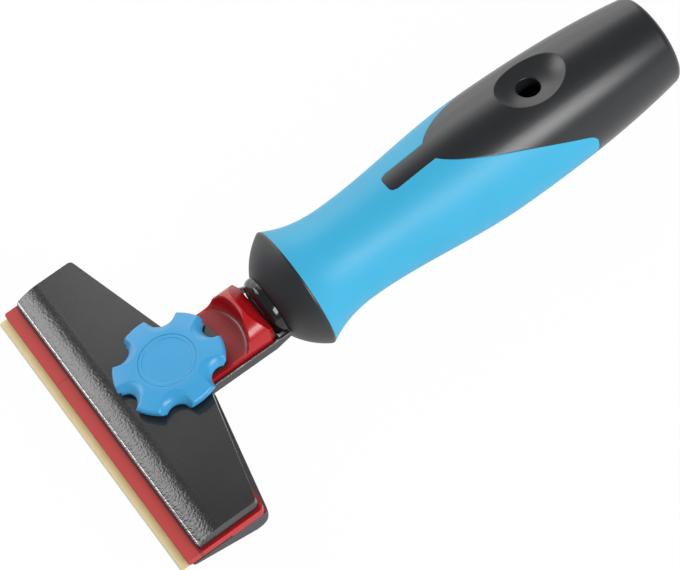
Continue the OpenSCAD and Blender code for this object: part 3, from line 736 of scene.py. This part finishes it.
def hand_knob():
    """The lobed knob: rings of points that follow its scalloped outline."""
    rim_z = KNOB_TOP - KNOB_CROWN
    count = 288
    theta = np.linspace(0, 2 * math.pi, count, endpoint=False)
    off = (theta - math.radians(NOTCH_TURN) + math.pi / 6) % (math.pi / 3) - math.pi / 6

    def outline(z):
        """Distance from the axis to the edge in each direction: lobes cut by conical notches."""
        distance = LOBE_R - NOTCH_DEPTH + NOTCH_R
        radius = NOTCH_R + NOTCH_OPEN * (z - KNOB_BOTTOM + 1) / (KNOB_TOP - KNOB_BOTTOM + 2)
        inside = np.maximum(radius**2 - (distance * np.sin(off)) ** 2, 0)
        notch = np.where(inside > 0, distance * np.cos(off) - np.sqrt(inside), LOBE_R + 3)
        return soft_least(notch, LOBE_R, NOTCH_SOFT)

    def crown_z(r):
        """Height of the crowned top at a radius."""
        flat_r = LOBE_R - KNOB_BROW
        s = np.clip((flat_r - r) / (flat_r - CAP_R), 0, 1)
        return rim_z + KNOB_CROWN * np.sin(s * math.pi / 2)

    def ring(r, z):
        r, z = np.broadcast_to(r, (count,)), np.broadcast_to(z, (count,))
        return np.stack([r * np.cos(theta), KNOB_Y + r * np.sin(theta), z], 1)

    # Up from the screw's hole over the washer's seat and the foot, to the wall
    toe, toe_mid = outline(KNOB_BOTTOM) - KNOB_FOOT, KNOB_FOOT * 0.45
    rows = [ring(SCREW_HOLE_R, HEAD_Z), ring(SCREW_HOLE_R, WASHER_Z)]
    rows += [ring(WASHER_R, WASHER_Z), ring(WASHER_R, KNOB_BOTTOM)]
    rows += [ring((WASHER_R + toe) / 2, KNOB_BOTTOM), ring(toe, KNOB_BOTTOM)]
    rows.append(ring(outline(KNOB_BOTTOM) - toe_mid, KNOB_BOTTOM + toe_mid))
    brow = KNOB_BROW + 0.8 * np.clip((LOBE_R - outline(rim_z)) / 3, 0, 1)
    shoulder = crown_z(outline(rim_z))
    for s in np.linspace(0, 1, 6):
        z = (KNOB_BOTTOM + KNOB_FOOT) * (1 - s) + (shoulder - brow) * s
        rows.append(ring(outline(z), z))

    # Over the brow and the crown to the cover's seam, and down the screw head's hexagon
    for a in np.radians(np.linspace(0, 90, 8))[1:]:
        z = shoulder - brow * (1 - math.sin(a))
        rows.append(ring(outline(z) - brow * (1 - math.cos(a)), z))
    edge = outline(shoulder) - brow
    for s in np.linspace(0, 1, 9)[1:]:
        r = edge * (1 - s) + (CAP_R + 0.25) * s
        rows.append(ring(r, crown_z(r)))
    rows += [ring(CAP_R + 0.03, KNOB_TOP - 0.01), ring(CAP_R, KNOB_TOP - 0.04), ring(CAP_R, CAP_Z)]
    hexagon = HEX_R / np.cos((theta + math.pi / 6) % (math.pi / 3) - math.pi / 6)
    rows += [ring(hexagon, CAP_Z), ring(hexagon, HEAD_Z), ring(SCREW_HOLE_R, HEAD_Z)]
    build = bmesh.new()
    grid_faces(build, rows)
    bmesh.ops.remove_doubles(build, verts=build.verts, dist=1e-6)
    bmesh.ops.recalc_face_normals(build, faces=build.faces)
    piece("lobed_knob", build, KNOB, "knob", "clamp_knob")


def on_plate_front(x, y, z):
    """On the upper edge of the plate's front."""
    return y < PLATE_Y + 0.3 and z > 3.5


def on_ridge_rim(x, y, z):
    """On the edge between the scoop's wall and the ridge."""
    return y > KNOB_Y + 10 and z > 8.2 and abs(math.hypot(x, y - SCOOP_Y) - SCOOP_R) < 0.1


def on_tail_side(x, y, z):
    """Along the upper edges of the slide's tail."""
    return y > KNOB_Y - 8 and abs(z - TAIL_TOP) < 0.05 and abs(abs(x) - TAIL_HALF) < 0.05


handle_pieces()
hand_knob()
dressed(
    "clamp_plate", "pressed_clamp_plate", BLACK, "head_and_handle", 0.4,
    [(0.9, on_plate_front)],
)
dressed("neck_channel", "folded_neck", BLACK, "head_and_handle", 0.2)
dressed("neck_collar", "collar_bead", COLLAR, "head_and_handle", 0.15)
dressed("base_shoe", "moulded_shoe", SHOE, "head_and_handle", 0.3)
dressed(
    "blade_carrier", "red_slide", RED, "carrier", 0.25,
    [(0.75, on_ridge_rim), (0.8, on_tail_side)],
)
dressed("knob_cap", "knob_cover", KNOB, "knob", 0.08)

for node, material in (
    ("scraper_blade", BLADE),
    ("clamp_screw", ZINC),
    ("knob_washer", ZINC),
    ("captive_nut", ZINC),
    ("neck_rivets", ZINC),
    ("tang_rod", ZINC),
    ("tang_washer", ZINC),
    ("tang_nut", ZINC),
):
    nodes[node].data.materials.clear()
    nodes[node].data.materials.append(material)


# Floor, light and camera

WHITE = (1, 1, 1, 1)
FLOOR_DROP = 0.0002


def stage_floor():
    """A pale floor that the camera and reflections see as white, and that keeps the shadow."""
    f = new_finish("pale_floor")
    diffuse = f.node("ShaderNodeBsdfDiffuse", inputs={"Color": (0.86, 0.86, 0.86, 1)})
    glow = f.node("ShaderNodeEmission", inputs={"Color": WHITE, "Strength": 1.0})
    rays = ("Is Camera Ray", "Is Glossy Ray", "Is Transmission Ray")
    camera, glossy, through = (f.node("ShaderNodeLightPath", output=ray) for ray in rays)
    seen = camera + glossy + through
    shader = f.node("ShaderNodeMixShader", inputs={0: seen * 0.98, 1: diffuse, 2: glow})
    f.node("ShaderNodeOutputMaterial", inputs={"Surface": shader})
    build = bmesh.new()
    bmesh.ops.create_grid(build, x_segments=1, y_segments=1, size=4.0)
    mesh = bpy.data.meshes.new("floor")
    build.to_mesh(mesh)
    build.free()
    mesh.materials.append(f.owner)
    floor = bpy.data.objects.new("floor", mesh)
    floor.location = (0, 0, cad_box[0].z - FLOOR_DROP)
    bpy.context.scene.collection.objects.link(floor)


def surroundings():
    """A dim even light all round, seen as white by the camera."""
    f = Finish(bpy.data.worlds.new("studio"))
    bpy.context.scene.world = f.owner
    light = f.node("ShaderNodeBackground", inputs={"Color": WHITE, "Strength": 0.27})
    white = f.node("ShaderNodeBackground", inputs={"Color": WHITE, "Strength": 1.0})
    seen = f.node("ShaderNodeLightPath", output="Is Camera Ray")
    shader = f.node("ShaderNodeMixShader", inputs={0: seen, 1: light, 2: white})
    f.node("ShaderNodeOutputWorld", inputs={"Surface": shader})


def softbox(name, towards, distance, width, height, power):
    """A rectangular light, set in a direction from the part's middle and turned to it."""
    lamp = bpy.data.lights.new(name, "AREA")
    lamp.shape = "RECTANGLE"
    lamp.size, lamp.size_y = width, height
    lamp.energy = power
    made = bpy.data.objects.new(name, lamp)
    aim = Vector(towards).normalized()
    made.location = Vector((0, 0, 0.018)) + aim * distance
    made.rotation_euler = aim.to_track_quat("Z", "Y").to_euler()
    bpy.context.scene.collection.objects.link(made)


def photo_camera():
    """The camera fitted to the photograph: its turn, its place and a long lens, both in its pixels."""
    focal_px, frame_px = 2618.323, 680
    right = Vector((0.54044489, 0.8089621, -0.23129989))
    down = Vector((0.62585879, -0.57025286, -0.53208312))
    ahead = Vector((-0.5623345, 0.14280054, -0.81448629))
    where = Vector(placed([404.66503, -21.08903, 578.02958]))
    lens = bpy.data.cameras.new("photo_camera")
    lens.sensor_fit = "HORIZONTAL"
    lens.sensor_width = 36.0
    lens.lens = lens.sensor_width * focal_px / frame_px
    lens.clip_start = 0.01
    made = bpy.data.objects.new("photo_camera", lens)
    turn = Matrix((right, -down, -ahead)).transposed()
    made.matrix_world = Matrix.Translation(where) @ turn.to_4x4()
    bpy.context.scene.collection.objects.link(made)
    bpy.context.scene.camera = made


stage_floor()
surroundings()
photo_camera()
softbox("near_box", (0.83, 0.17, 0.50), 1.0, 0.75, 0.38, 8.6)
softbox("far_panel", (-0.94, 0.10, 0.34), 1.1, 1.8, 0.9, 8.0)
softbox("front_box", (-0.61, -0.50, 0.66), 1.0, 0.40, 0.40, 2.4)
softbox("rear_box", (-0.68, 0.27, 0.69), 1.0, 0.56, 0.5, 1.3)
bpy.context.scene.view_settings.view_transform = "Standard"
